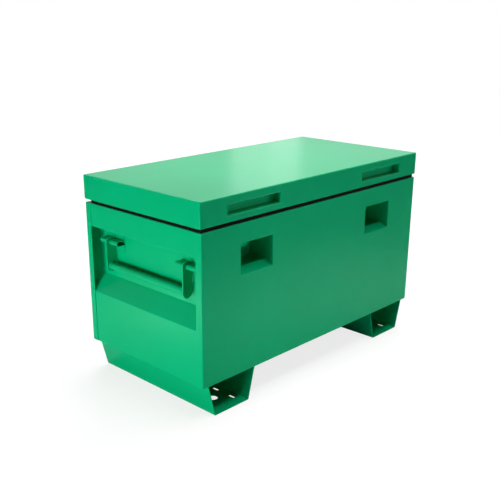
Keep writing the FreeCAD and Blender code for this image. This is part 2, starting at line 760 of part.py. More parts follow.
# ---------------------------------------------------------------- hinge
def hinge_leaf(name, side, first_knuckle, count):
    """A leaf inside the rear of the box, below the axis for -1 or above it for 1, with knuckles."""
    pitch = f"(2 * {HALF_HINGE} / (2 * knuckle_pairs + 1))"
    body = new_body(name)

    plate = new_sketch(body, f"{name}_section", "YZ_Plane")
    near = f"({HINGE_Z} + {side} * (knuckle_radius + knuckle_gap))"
    far = f"({HINGE_Z} + {side} * hinge_leaf_height)"
    add_outline(plate, rectangle((LEAF_FACE, SIDE_INNER), (near, far)))
    pad(body, plate, f"{name}_plate", f"2 * {HALF_HINGE}")

    start = f"(-{HALF_HINGE} + {first_knuckle} * {pitch} + knuckle_gap / 2)"
    length = f"{pitch} - knuckle_gap"
    neck = new_sketch(body, f"{name}_neck_section", "YZ_Plane", start)
    root = f"({HINGE_Z} + {side} * hinge_neck)"
    add_outline(neck, rectangle((LEAF_FACE, SIDE_INNER), (root, near)))
    neck_pad = pad(body, neck, f"{name}_neck", length, both_ways=False)
    barrel = new_sketch(body, f"{name}_barrel_section", "YZ_Plane", start)
    add_circle(barrel, "knuckle_radius", HINGE_Y, HINGE_Z)
    barrel_pad = pad(body, barrel, f"{name}_barrel", length, both_ways=False)

    row = body.newObject("PartDesign::LinearPattern", f"{name}_knuckles")
    row.Originals = [neck_pad, barrel_pad]
    row.Direction = (origin_feature(body, "X_Axis"), [""])
    row.setExpression("Length", formula(f"2 * ({count} - 1) * {pitch}"))
    row.setExpression("Occurrences", formula(count))
    body.Tip = row

    bore = new_sketch(body, f"{name}_bore_section", "YZ_Plane")
    add_circle(bore, "hinge_pin_radius + knuckle_bore_clearance", HINGE_Y, HINGE_Z)
    pocket(body, bore, f"{name}_bore", f"4 * {HALF_HINGE}")
    piece(body, name)


def hinge():
    """A full-length hinge; the body leaf has the knuckles at both ends."""
    hinge_leaf("hinge_body_leaf", "-1", "0", "(knuckle_pairs + 1)")
    hinge_leaf("hinge_lid_leaf", "1", "1", "knuckle_pairs")
    base = (negative(HALF_HINGE), HINGE_Y, HINGE_Z)
    pin = cylinder("hinge_pin", "hinge_pin_radius", ALONG_X, f"2 * {HALF_HINGE}", base)
    piece(pin, "hinge_pin")


# ---------------------------------------------------------------- lid
def lid_shell():
    """The lid: top, four turned-down sides, and a flange turned in at the front and ends."""
    body = new_body("lid_shell")
    inside_end = f"({LID_END} - gauge)"
    outside = new_sketch(body, "lid_plan", "XY_Plane", LID_BOTTOM)
    add_outline(outside, rectangle((negative(LID_END), LID_END), (negative(HALF_DEPTH), HALF_DEPTH)))
    block_pad = pad(body, outside, "lid_block", "lid_height", both_ways=False)

    def top_or_corner(edge, whole):
        return same(edge.ZMin, whole.ZMax) or edge.ZLength > 1

    round_edges(body, block_pad, "lid_bend", "lid_edge_radius", top_or_corner)

    cavity = new_sketch(body, "lid_cavity_plan", "XY_Plane", f"{LID_BOTTOM} + gauge")
    x_span = (negative(inside_end), inside_end)
    add_outline(cavity, rectangle(x_span, (negative(SIDE_INNER), SIDE_INNER)))
    pocket(body, cavity, "lid_cavity", "lid_height - 2 * gauge", both_ways=False, reversed_way=True)

    mouth = new_sketch(body, "lid_mouth_plan", "XY_Plane", LID_BOTTOM)
    edge_x = f"({LID_END} - gauge - lid_flange)"
    y_span = (f"-({SIDE_INNER} - lid_flange)", SIDE_INNER)
    add_outline(mouth, rectangle((negative(edge_x), edge_x), y_span))
    pocket(body, mouth, "lid_mouth", "2 * gauge")

    cups = new_sketch(body, "grip_openings", "XZ_Plane", "box_depth / 2")
    bottom = f"({LID_BOTTOM} + grip_up)"
    for side in ("-1", "1"):
        middle = f"{side} * {GRIP_X}"
        span = (f"{middle} - grip_width / 2 - gauge", f"{middle} + grip_width / 2 + gauge")
        add_outline(cups, rectangle(span, (f"{bottom} - gauge", f"{bottom} + grip_height + gauge")))
    pocket(body, cups, "grip_cut", "4 * gauge")
    piece(body, "lid_shell")


def lid_grips():
    """A pressed cup in the lid's front, with a rounded mouth flush with the sheet."""
    bottom = f"({LID_BOTTOM} + grip_up)"
    top = f"({bottom} + grip_height)"
    middle = negative(GRIP_X)
    mouth_y = negative(HALF_DEPTH)
    back_y = f"({mouth_y} + grip_depth)"
    body = new_body("lid_grip")

    def section(name, grow, depth):
        sketch = new_sketch(body, name, "YZ_Plane", middle)
        add_outline(sketch, rectangle((mouth_y, depth), (f"{bottom} - {grow}", f"{top} + {grow}")))
        return sketch

    outside = section("grip_outside_section", "gauge", f"{back_y} + gauge")
    pad(body, outside, "grip_block", "grip_width + 2 * gauge")
    inside = section("grip_inside_section", "-grip_edge_radius", back_y)
    hollow = pocket(body, inside, "grip_hollow", "grip_width - 2 * grip_edge_radius")

    def at_mouth(edge, whole):
        in_front = same(edge.YMax, whole.YMin)
        within_x = edge.XMin > whole.XMin + 0.01 and edge.XMax < whole.XMax - 0.01
        within_z = edge.ZMin > whole.ZMin + 0.01 and edge.ZMax < whole.ZMax - 0.01
        return in_front and within_x and within_z

    round_edges(body, hollow, "grip_lip", "grip_edge_radius", at_mouth)
    left_and_right(body, "lid_grip")


def lid_stiffeners():
    """Three hat sections across the underside of the lid."""
    crown = f"({LID_SKIN} - stiffener_depth)"
    thickness = "gauge"
    half_foot = "(stiffener_width / 2)"
    half_crown = "(stiffener_crown / 2)"
    half = [
        (half_foot, LID_SKIN),
        (half_foot, f"{LID_SKIN} - {thickness}"),
        (half_crown, f"{LID_SKIN} - {thickness}"),
        (half_crown, crown),
    ]
    inner = [
        (f"({half_crown} - {thickness})", f"{crown} + {thickness}"),
        (f"({half_crown} - {thickness})", LID_SKIN),
    ]
    start = f"(-{SIDE_INNER})"
    for label, place in (("left", "-1"), ("middle", "0"), ("right", "1")):
        shift = f"{place} * ({GRIP_INNER} - stiffener_grip_gap - stiffener_crown / 2)"
        points = [(f"{shift} + {u}", v) for u, v in half]
        points += [(f"{shift} - {u}", v) for u, v in reversed(half)]
        points += [(f"{shift} - {u}", v) for u, v in reversed(inner)]
        points += [(f"{shift} + {u}", v) for u, v in inner]
        name = f"lid_stiffener_{label}"
        body = new_body(name)
        section = new_sketch(body, f"{name}_section", "XZ_Plane", negative(start))
        add_outline(section, points)
        length = f"{SIDE_INNER} + {SIDE_INNER} - hinge_leaf_gauge"
        pad(body, section, f"{name}_pad", length, both_ways=False, reversed_way=True)
        piece(body, name)


def lid_hinge_rail():
    """An angle that ties the lid leaf to the lid and covers the rear run of the weatherstrip."""
    outline = [
        (SHELF_EDGE, LID_BOTTOM),
        (LEAF_FACE, LID_BOTTOM),
        (LEAF_FACE, f"{LID_BOTTOM} + gauge"),
        (f"{SHELF_EDGE} + gauge", f"{LID_BOTTOM} + gauge"),
        (f"{SHELF_EDGE} + gauge", f"{LID_BOTTOM} + hinge_rail_upstand"),
        (SHELF_EDGE, f"{LID_BOTTOM} + hinge_rail_upstand"),
    ]
    length = f"2 * ({LID_END} - gauge - lid_flange)"
    piece(padded_outline("lid_hinge_rail", "YZ_Plane", outline, length), "lid_hinge_rail")


# ---------------------------------------------------------------- gas struts
def strut_body_bracket():
    """A plate on the inside of the recess wall, with a headed stud for the cylinder's eye."""
    wall = negative(RECESS_BACK)
    eye_face = f"(-{STRUT_X} + strut_eye_width / 2)"
    x_span = (wall, f"{wall} + bracket_gauge")
    y_span = (f"{STRUT_BODY_Y} - bracket_width / 2", f"{STRUT_BODY_Y} + bracket_width / 2")
    z_span = (f"{STRUT_BODY_Z} - bracket_height / 2", f"{STRUT_BODY_Z} + bracket_height / 2")
    plate = block("strut_plate", x_span, y_span, z_span)
    length = f"{eye_face} + strut_open_gap - {wall}"
    base = (wall, STRUT_BODY_Y, STRUT_BODY_Z)
    stud = cylinder("strut_stud", "strut_stud_radius", ALONG_X, length, base)
    base = (f"{eye_face} + strut_open_gap", STRUT_BODY_Y, STRUT_BODY_Z)
    head = cylinder("strut_stud_head", "stud_head_radius", ALONG_X, "stud_head", base)
    return fuse("strut_bracket", [plate, stud, head])


def strut_lid_bracket():
    """An angle hung from the lid, with a stud that stops just short of the rod's eye."""
    x_outer = negative(RECESS_BACK)
    x_inner = f"({x_outer} + bracket_gauge)"
    y_span = (f"{STRUT_LID_Y} - bracket_width / 2", f"{STRUT_LID_Y} + bracket_width / 2")
    z_span = (f"{STRUT_LID_Z} - bracket_below_stud", LID_SKIN)
    plate = block("lid_plate", (x_outer, x_inner), y_span, z_span)
    z_span = (f"{LID_SKIN} - bracket_gauge", LID_SKIN)
    foot = block("lid_foot", (x_outer, f"{x_inner} + bracket_foot"), y_span, z_span)
    length = f"(-{STRUT_X} - strut_eye_width / 2 - strut_open_gap) - {x_outer}"
    base = (x_outer, STRUT_LID_Y, STRUT_LID_Z)
    stud = cylinder("lid_stud", "strut_stud_radius", ALONG_X, length, base)
    return fuse("strut_lid_bracket", [plate, foot, stud])


def along_strut(shape):
    """Lay a shape that was built up from its own origin along the strut, from the body stud."""
    shape.Placement = FreeCAD.Placement(Vector(), FreeCAD.Rotation(Vector(-1, 0, 0), 45))
    shape.setExpression("Placement.Rotation.Angle", formula(f"atan2({STRUT_RUN}; {STRUT_RISE})"))
    for axis, place in zip("xyz", (negative(STRUT_X), STRUT_BODY_Y, STRUT_BODY_Z)):
        shape.setExpression(f"Placement.Base.{axis}", formula(place))
    return shape


def strut_cylinder():
    """The pressure tube: an eye at the body end and a gland at the other."""
    tube_start = "strut_eye_radius"
    tube_end = f"({STRUT_LENGTH} - strut_eye_radius - strut_exposed)"
    eye_base = ("-strut_eye_width / 2", "0", "0")
    eye = cylinder("cylinder_eye", "strut_eye_radius", ALONG_X, "strut_eye_width", eye_base)
    neck_span = ("-strut_stud_radius", "strut_stud_radius")
    neck = block("cylinder_neck", neck_span, neck_span, ("0", f"{tube_start} + strut_gland / 2"))
    length = f"{tube_end} - {tube_start}"
    tube = cylinder("cylinder_tube", "strut_radius", ALONG_Z, length, ("0", "0", tube_start))
    outside = fuse("cylinder_outside", [eye, neck, tube])
    radius = "strut_stud_radius + strut_running_gap"
    hole = cylinder("cylinder_hole", radius, ALONG_X, "strut_eye_width", eye_base)
    chamber_start = f"({tube_start} + strut_gland)"
    length = f"{tube_end} - strut_gland - {chamber_start}"
    radius = "strut_radius - strut_wall"
    chamber = cylinder("cylinder_chamber", radius, ALONG_Z, length, ("0", "0", chamber_start))
    radius = "strut_rod_radius + strut_running_gap"
    length = f"{tube_end} - {chamber_start}"
    gland = cylinder("cylinder_gland", radius, ALONG_Z, length, ("0", "0", chamber_start))
    return along_strut(cut("strut_cylinder", outside, fuse("cylinder_inside", [hole, chamber, gland])))


def strut_rod():
    """The rod: a piston inside the tube and an eye beside the lid stud."""
    piston_start = "(strut_eye_radius + strut_gland + strut_open_gap)"
    radius = "strut_radius - strut_wall - strut_running_gap"
    base = ("0", "0", piston_start)
    piston = cylinder("rod_piston", radius, ALONG_Z, "strut_piston_length", base)
    length = f"{STRUT_LENGTH} - {piston_start}"
    shaft = cylinder("rod_shaft", "strut_rod_radius", ALONG_Z, length, base)
    base = ("-strut_eye_width / 2", "0", STRUT_LENGTH)
    eye = cylinder("rod_eye", "strut_eye_radius", ALONG_X, "strut_eye_width", base)
    return along_strut(fuse("strut_rod", [piston, shaft, eye]))


def gas_struts():
    left_and_right(strut_body_bracket(), "strut_bracket")
    left_and_right(strut_lid_bracket(), "strut_lid_bracket")
    left_and_right(strut_cylinder(), "strut_cylinder")
    left_and_right(strut_rod(), "strut_rod")


# ---------------------------------------------------------------- build, check and write
def check_document():
    """Stop on any failed object or bad piece."""
    for item in doc.Objects:
        if "Invalid" in item.State or "Error" in item.State:
            raise RuntimeError(f"{item.Name} failed: {item.State}")
    for shape_object in pieces:
        shape = shape_object.Shape
        if shape.isNull() or not shape.isValid() or not shape.Solids:
            raise RuntimeError(f"{shape_object.Label} has a bad shape")


def main():
    front_panel()
    rear_panel()
    end_panels()
    floor_pan()
    hinge_shelf()
    skids()
    rim_rails()
    weatherstrip()
    lock_pockets()
    lock_staples()
    handles()
    hinge()
    lid_shell()
    lid_grips()
    lid_stiffeners()
    lid_hinge_rail()
    hasps()
    gas_struts()
    doc.recompute()
    check_document()
    os.makedirs("parts", exist_ok=True)
    for shape_object in pieces:
        shape_object.Shape.exportStep(f"parts/{shape_object.Label}.step")
        solids = len(shape_object.Shape.Solids)
        print(f"{shape_object.Label}: {solids} solid, {shape_object.Shape.Volume:.0f} mm3")


main()
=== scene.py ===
"""Looks of the jobsite storage box: finishes, rounded sheet edges, welds, camera and studio.

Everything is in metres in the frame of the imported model: X along the length, the front faces -Y,
Z is up. Left and right are as seen from the front. Places are taken from the boxes of CAD nodes.
"""

import math

import bmesh
import bpy
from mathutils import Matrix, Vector


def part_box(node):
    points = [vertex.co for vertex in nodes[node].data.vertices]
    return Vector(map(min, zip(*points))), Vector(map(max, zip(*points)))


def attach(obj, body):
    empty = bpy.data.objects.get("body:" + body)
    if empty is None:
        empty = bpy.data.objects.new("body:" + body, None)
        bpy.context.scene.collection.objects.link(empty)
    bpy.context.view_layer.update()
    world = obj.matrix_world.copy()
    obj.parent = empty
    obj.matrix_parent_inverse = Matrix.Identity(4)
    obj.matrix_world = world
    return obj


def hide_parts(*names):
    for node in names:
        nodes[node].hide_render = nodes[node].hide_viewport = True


MM = 0.001
SIDES = ("left", "right")

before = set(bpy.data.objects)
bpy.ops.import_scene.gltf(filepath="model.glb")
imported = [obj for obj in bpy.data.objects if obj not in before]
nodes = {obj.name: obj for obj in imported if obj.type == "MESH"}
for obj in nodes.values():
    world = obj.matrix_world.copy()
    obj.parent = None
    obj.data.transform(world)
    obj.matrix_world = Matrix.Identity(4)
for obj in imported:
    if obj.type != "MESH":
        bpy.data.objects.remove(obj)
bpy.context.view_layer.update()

# ---------------------------------------------------------------- camera
CAMERA_PLACE = Vector((-2.1977, -1.9958, 1.3186))
CAMERA_AIM = Vector((-0.1693, 0.0, 0.3433))
CAMERA_LENS = 55.95
CAMERA_SHIFT = (0.0388, 0.0507)
CAMERA_CLIP = (0.05, 60.0)
SENSOR_WIDTH = 36.0


def link(obj):
    bpy.context.scene.collection.objects.link(obj)
    return obj


def face_towards(obj, target):
    """Turn a camera or lamp so that it looks at a point."""
    obj.rotation_mode = "QUATERNION"
    obj.rotation_quaternion = (Vector(target) - obj.location).to_track_quat("-Z", "Y")


def add_camera():
    data = bpy.data.cameras.new("camera")
    data.sensor_width = SENSOR_WIDTH
    data.lens = CAMERA_LENS
    data.shift_x, data.shift_y = CAMERA_SHIFT
    data.clip_start, data.clip_end = CAMERA_CLIP
    camera = link(bpy.data.objects.new("camera", data))
    camera.location = CAMERA_PLACE
    face_towards(camera, CAMERA_AIM)
    bpy.context.scene.camera = camera


# ---------------------------------------------------------------- materials
PAINT_TONES = ((0.0, 0.405, 0.160), (0.0, 0.430, 0.176))


class Shading:
    """A material's node tree around one Principled shader."""

    def __init__(self, name):
        self.material = bpy.data.materials.new(name)
        self.material.use_nodes = True
        self.tree = self.material.node_tree
        self.shader = self.tree.nodes["Principled BSDF"]
        self.place = self.add("ShaderNodeTexCoord").outputs["Object"]

    def add(self, kind, **settings):
        node = self.tree.nodes.new(kind)
        for key, value in settings.items():
            setattr(node, key, value)
        return node

    def wire(self, source, target):
        self.tree.links.new(source, target)

    def set(self, **values):
        """Plain values on the shader; an underscore in a name stands for a space."""
        for key, value in values.items():
            self.shader.inputs[key.replace("_", " ")].default_value = value

    def noise(self, scale, detail=2.0):
        """A noise pattern, in cycles per metre."""
        texture = self.add("ShaderNodeTexNoise")
        texture.inputs["Scale"].default_value = scale
        texture.inputs["Detail"].default_value = detail
        self.wire(self.place, texture.inputs["Vector"])
        return texture.outputs["Fac"]

    def spread(self, source, low, high, start=0.35, end=0.65):
        """Map the middle of a pattern to a range of values."""
        ramp = self.add("ShaderNodeMapRange")
        ramp.inputs["From Min"].default_value = start
        ramp.inputs["From Max"].default_value = end
        ramp.inputs["To Min"].default_value = low
        ramp.inputs["To Max"].default_value = high
        self.wire(source, ramp.inputs["Value"])
        return ramp.outputs["Result"]

    def tones(self, source, dark, light):
        """The base colour varies between two tones with a pattern."""
        mix = self.add("ShaderNodeMix", data_type="RGBA")
        mix.inputs["A"].default_value = (*dark, 1)
        mix.inputs["B"].default_value = (*light, 1)
        self.wire(source, mix.inputs["Factor"])
        self.wire(mix.outputs["Result"], self.shader.inputs["Base Color"])

    def bump(self, source, strength, height):
        node = self.add("ShaderNodeBump")
        node.inputs["Strength"].default_value = strength
        node.inputs["Distance"].default_value = height
        self.wire(source, node.inputs["Height"])
        self.wire(node.outputs["Normal"], self.shader.inputs["Normal"])


def green_paint():
    """Satin powder coat: fine orange peel and the faintest change of tone over a panel."""
    paint = Shading("green_paint")
    paint.set(IOR=1.38, Specular_Tint=(0.0, 0.8, 0.4, 1))
    paint.tones(paint.spread(paint.noise(2.5, detail=3.0), 0.0, 1.0), *PAINT_TONES)
    paint.wire(paint.spread(paint.noise(3.0), 0.20, 0.22), paint.shader.inputs["Roughness"])
    paint.bump(paint.noise(650.0, detail=1.0), strength=0.02, height=0.1 * MM)
    return paint.material


def seal_rubber():
    rubber = Shading("seal_rubber")
    rubber.set(Specular_IOR_Level=0.1)
    # Near-black tones, darker than plain black rubber: the seal's own black plus painted shade for
    # the gap between lid and body that it fills.
    rubber.tones(rubber.noise(60.0), (0.0015, 0.0015, 0.0015), (0.0035, 0.0035, 0.0035))
    rubber.wire(rubber.spread(rubber.noise(90.0), 0.75, 0.9), rubber.shader.inputs["Roughness"])
    rubber.bump(rubber.noise(1500.0, detail=1.0), strength=0.4, height=0.1 * MM)
    return rubber.material


def strut_black():
    black = Shading("strut_black")
    black.tones(black.noise(30.0), (0.008, 0.008, 0.008), (0.013, 0.013, 0.013))
    black.wire(black.spread(black.noise(80.0), 0.28, 0.4), black.shader.inputs["Roughness"])
    black.bump(black.noise(900.0, detail=1.0), strength=0.1, height=0.05 * MM)
    return black.material


def zinc_steel():
    """Bright zinc plate with cloudy crystals."""
    zinc = Shading("zinc_steel")
    zinc.set(Metallic=1.0)
    zinc.tones(zinc.noise(110.0, detail=3.0), (0.42, 0.43, 0.45), (0.66, 0.67, 0.69))
    zinc.wire(zinc.spread(zinc.noise(160.0), 0.25, 0.45), zinc.shader.inputs["Roughness"])
    zinc.bump(zinc.noise(700.0), strength=0.1, height=0.05 * MM)
    return zinc.material


def bright_steel():
    """Ground and polished rod with the faint rings of grinding."""
    steel = Shading("bright_steel")
    steel.set(Metallic=1.0)
    steel.tones(steel.noise(50.0), (0.68, 0.69, 0.71), (0.78, 0.79, 0.81))
    steel.wire(steel.spread(steel.noise(300.0), 0.1, 0.2), steel.shader.inputs["Roughness"])
    return steel.material


FINISHES = {
    "green_paint": green_paint(),
    "seal_rubber": seal_rubber(),
    "strut_black": strut_black(),
    "zinc_steel": zinc_steel(),
    "bright_steel": bright_steel(),
}


def finish_of(name):
    """The record's material slot of a CAD node."""
    if name == "weatherstrip":
        return "seal_rubber"
    if name.startswith("strut_cylinder"):
        return "strut_black"
    if name.startswith("strut_rod") or name == "hinge_pin":
        return "bright_steel"
    if name.startswith(("hinge_", "strut_", "handle_pin")) and name != "hinge_shelf":
        return "zinc_steel"
    return "green_paint"


def paint(obj, slot):
    obj.data.materials.clear()
    obj.data.materials.append(FINISHES[slot])


# ---------------------------------------------------------------- sheet metal
SAME_POINT = 1e-6
FLAT = math.radians(0.5)  # faces closer than this in angle become one
SHARP = math.radians(35)  # edges of a plain node sharper than this are broken
FOLD = math.radians(12)  # edges of a formed sheet sharper than this are bends or cut edges
TURN = math.radians(30)  # a row of edges goes on through corners straighter than this
NARROW = 6 * MM  # a face that reaches in no further than this is the cut edge of a sheet
SHEET_EDGE = 0.6 * MM
BEND = 1.9 * MM
EDGE_SEGMENTS, BEND_SEGMENTS = 2, 3
CUP_OVERLAP = 0.02 * MM
EDGE_RADII = {"skid": 0.9 * MM, "handle_arm": 1.2 * MM, "handle_bracket": 0.9 * MM,
              "hasp": 1.0 * MM, "lock_staple": 1.0 * MM}
FORMED_PANELS = ("front_panel", "end_panel_left", "end_panel_right")


def edge_radius(name):
    return next((r for stem, r in EDGE_RADII.items() if name.startswith(stem)), SHEET_EDGE)


def round_edges(obj, radius, weighted=False):
    """Break the sharp edges of a part, as the press, the grinder and the paint leave them."""
    bevel = obj.modifiers.new("broken_edges", "BEVEL")
    bevel.width = radius
    bevel.segments = BEND_SEGMENTS if weighted else EDGE_SEGMENTS
    bevel.limit_method = "WEIGHT" if weighted else "ANGLE"
    bevel.angle_limit = SHARP
    bevel.use_clamp_overlap = not weighted
    normals = obj.modifiers.new("even_shading", "WEIGHTED_NORMAL")
    normals.keep_sharp = True


def dress_node(name):
    """Give a CAD node its finish and broken edges."""
    node = nodes[name]
    slot = finish_of(name)
    paint(node, slot)
    if slot == "green_paint":
        weld = node.modifiers.new("one_skin", "WELD")
        weld.merge_threshold = 10 * SAME_POINT
        planar = node.modifiers.new("whole_faces", "DECIMATE")
        planar.decimate_type = "DISSOLVE"
        planar.angle_limit = FLAT
        round_edges(node, edge_radius(name))


def clean_copy(name):
    """A loose copy of a CAD node, to be cut and joined."""
    return link(bpy.data.objects.new(f"{name}_copy", nodes[name].data.copy()))


def merge_flats(mesh, seams=()):
    """Make flat faces whole, parted at places along X so that none closes round a hole."""
    form = bmesh.new()
    form.from_mesh(mesh)
    bmesh.ops.remove_doubles(form, verts=form.verts, dist=SAME_POINT)
    for x in seams:
        everything = [*form.verts, *form.edges, *form.faces]
        cut = bmesh.ops.bisect_plane(form, geom=everything, dist=SAME_POINT,
                                     plane_co=(x, 0, 0), plane_no=(1, 0, 0))
        for element in cut["geom_cut"]:
            if isinstance(element, bmesh.types.BMEdge):
                element.seam = True
    bmesh.ops.dissolve_limit(form, angle_limit=FLAT, verts=form.verts, edges=form.edges,
                             delimit={"SEAM"})
    form.to_mesh(mesh)
    form.free()
    if "custom_normal" in mesh.attributes:
        mesh.attributes.remove(mesh.attributes["custom_normal"])


def middles(stem):
    """The places along X of the middles of a left and a right CAD node."""
    return [sum(corner.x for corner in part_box(f"{stem}_{side}")) / 2 for side in SIDES]


def swell(mesh, amount):
    """Push every corner out from the middle along X and Z, so that two skins overlap a little."""
    corners = [vertex.co for vertex in mesh.vertices]
    for axis in (0, 2):
        middle = (min(c[axis] for c in corners) + max(c[axis] for c in corners)) / 2
        for corner in corners:
            corner[axis] += math.copysign(amount, corner[axis] - middle)


def across(edge, face):
    """The side of a face opposite the middle of one of its edges, and its distance."""
    one, other = (vert.co for vert in edge.verts)
    middle = (one + other) / 2
    course = (other - one).normalized()
    loop = next(loop for loop in edge.link_loops if loop.face is face)
    if loop.vert is not edge.verts[0]:
        course.negate()
    inward = face.normal.cross(course)
    nearest, least = None, math.inf
    for side in face.edges:
        if side is edge:
            continue
        start, end = (vert.co - middle for vert in side.verts)
        before, after = start.dot(course), end.dot(course)
        if before * after <= 0 and before != after:
            far = start.lerp(end, before / (before - after)).dot(inward)
            if 0 < far < least:
                nearest, least = side, far
    return nearest, least


def runs_on(edge, other, vert):
    """Whether two edges that share a corner go on from one to the other without a turn."""
    one = edge.other_vert(vert).co - vert.co
    two = other.other_vert(vert).co - vert.co
    return math.pi - one.angle(two) < TURN


def weigh_edges(mesh):
    """Full weight for the bends between wide faces, little for the cut edges of the sheet.

    Edges that run on from a bend without a turn have its weight, as a step in a row of edges
    would throw a spike. The edge opposite a bend on a narrow rim has only the room that is left.
    """
    form = bmesh.new()
    form.from_mesh(mesh)
    weight = form.edges.layers.float.new("bevel_weight_edge")
    folds = [edge for edge in form.edges
             if len(edge.link_faces) == 2 and edge.calc_face_angle() > FOLD]
    rims = {edge: min((across(edge, face) for face in edge.link_faces), key=lambda rim: rim[1])
            for edge in folds}
    bends = {edge for edge in folds if rims[edge][1] > NARROW}
    ahead = [edge for edge in folds if edge in bends]
    while ahead:
        edge = ahead.pop()
        for vert in edge.verts:
            for other in vert.link_edges:
                if other in rims and other not in bends and runs_on(edge, other, vert):
                    bends.add(other)
                    ahead.append(other)
    for edge in folds:
        opposite, width = rims[edge]
        if edge in bends:
            edge[weight] = 1.0
        elif opposite in bends:
            edge[weight] = max(width - BEND, 0) / 2 / BEND
        else:
            edge[weight] = SHEET_EDGE / BEND
    for face in form.faces:
        face.smooth = True
    form.to_mesh(mesh)
    form.free()


def formed_sheet(name, mesh, body, *replaced):
    """A piece of bent sheet with true bend radii, in place of its CAD nodes."""
    weigh_edges(mesh)
    sheet = link(bpy.data.objects.new(name, mesh))
    paint(sheet, "green_paint")
    round_edges(sheet, BEND, weighted=True)
    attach(sheet, body)
    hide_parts(*replaced)


def lid_pressing():
    """The lid with its two grip cups welded in and ground flush, so that no seam shows."""
    lid = clean_copy("lid_shell")
    cups = [clean_copy(f"lid_grip_{side}") for side in SIDES]
    seams = middles("lid_grip")
    merge_flats(lid.data, seams)
    for cup in cups:
        merge_flats(cup.data)
        swell(cup.data, CUP_OVERLAP)
        join = lid.modifiers.new(cup.name, "BOOLEAN")
        join.operation = "UNION"
        join.solver = "EXACT"
        join.object = cup
    graph = bpy.context.evaluated_depsgraph_get()
    mesh = bpy.data.meshes.new_from_object(lid.evaluated_get(graph), depsgraph=graph)
    merge_flats(mesh, seams)
    for obj in (lid, *cups):
        bpy.data.objects.remove(obj)
    formed_sheet("lid_pressing", mesh, "lid", "lid_shell", "lid_grip_left", "lid_grip_right")


def chest_panels():
    for name in FORMED_PANELS:
        mesh = nodes[name].data.copy()
        merge_flats(mesh, middles("lock_pocket") if name == "front_panel" else ())
        formed_sheet(f"{name}_formed", mesh, "chest", name)


# ---------------------------------------------------------------- welds
BEAD, FINE_BEAD, HEAVY_BEAD = 2.2 * MM, 1.6 * MM, 2.5 * MM  # radii
BEAD_STEP = 0.8 * MM
BEAD_RIPPLE = 2.4 * MM
RIPPLE_DEPTH = 0.10  # as a share of the radius
BEAD_STUB = 0.02  # keeps the tip of an open bead from closing to a point
BEAD_SIDES = 10
SINK = 1.0 * MM  # beads beside a sheet stand off it a little, to stay clear of its far side
GAUGE = 2.0 * MM
SLANT_HEIGHTS = (384.0 * MM, 325.0 * MM)  # top and bottom of a handle recess's slanted face
SILL_RUN, SILL_RISE = 30.0 * MM, 17.0 * MM  # of a padlock pocket's sloping sill


def along(path, step, closed):
    """Points at even steps along a path, each with its distance from the start."""
    ends = path + path[:1] if closed else path
    walked = 0.0
    for a, b in zip(ends, ends[1:]):
        length = (b - a).length
        count = max(1, round(length / step))
        for i in range(count):
            yield a.lerp(b, i / count), walked + length * i / count
        walked += length
    if not closed:
        yield ends[-1], walked


def add_bead(form, path, radius, closed=False):
    """A weld bead: a rippled rope half sunk along a path, with tapered ends if it is open."""
    marks = list(along(path, BEAD_STEP, closed))
    total = marks[-1][1]
    rings = []
    for i, (point, walked) in enumerate(marks):
        before = marks[i - 1][0] if i or closed else point
        after = marks[(i + 1) % len(marks)][0] if i + 1 < len(marks) or closed else point
        turn = (after - before).to_track_quat("Z", "Y")
        ripple = 1 + RIPPLE_DEPTH * math.sin(2 * math.pi * walked / BEAD_RIPPLE)
        taper = math.sqrt(min(walked, total - walked) / (2 * radius) + BEAD_STUB)
        reach = radius * ripple * (1.0 if closed else min(1.0, taper))
        ring = []
        for k in range(BEAD_SIDES):
            angle = 2 * math.pi * k / BEAD_SIDES
            offset = turn @ Vector((math.cos(angle), math.sin(angle), 0)) * reach
            ring.append(form.verts.new(point + offset))
        rings.append(ring)
    pairs = list(zip(rings, rings[1:] + rings[:1])) if closed else list(zip(rings, rings[1:]))
    for first, second in pairs:
        for k in range(BEAD_SIDES):
            n = (k + 1) % BEAD_SIDES
            form.faces.new((first[k], first[n], second[n], second[k])).smooth = True
    if not closed:
        form.faces.new(rings[0][::-1])
        form.faces.new(rings[-1])


def add_stitches(form, start, end, count, length, radius):
    """Several short beads, evenly spaced along a line."""
    start, end = Vector(start), Vector(end)
    direction = (end - start).normalized()
    for i in range(count):
        middle = start.lerp(end, (i + 0.5) / count)
        half = direction * (length / 2)
        add_bead(form, [middle - half, middle + half], radius)


def finish_welds(form, name, body):
    mesh = bpy.data.meshes.new(name)
    form.to_mesh(mesh)
    form.free()
    welds = link(bpy.data.objects.new(name, mesh))
    paint(welds, "green_paint")
    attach(welds, body)


def circle(middle, radius, count=72):
    """Points round a circle in a plane across Y."""
    turns = [2 * math.pi * i / count for i in range(count)]
    return [middle + radius * Vector((math.cos(turn), 0, math.sin(turn))) for turn in turns]


def handle_welds(side):
    """A ring of weld where the grip meets each arm."""
    form = bmesh.new()
    low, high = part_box(f"handle_grip_{side}")
    radius = (high.z - low.z) / 2
    middle = (low + high) / 2
    for y in (low.y, high.y):
        add_bead(form, circle(Vector((middle.x, y, middle.z)), radius), BEAD, closed=True)
    finish_welds(form, f"welds_handle_{side}", f"handle_{side}")


def recess_beads(form, side):
    """Beads where the slanted face of a handle recess meets the front and rear panels."""
    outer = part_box(f"end_panel_{side}")[0 if side == "left" else 1]
    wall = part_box(f"handle_bracket_{side}_front")[1 if side == "left" else 0]
    edge = outer.x + math.copysign(SINK, wall.x - outer.x)
    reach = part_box("end_panel_left")[1].y - SINK
    top, bottom = SLANT_HEIGHTS
    for y in (-reach, reach):
        add_bead(form, [Vector((wall.x, y, top)), Vector((edge, y, bottom))], BEAD)


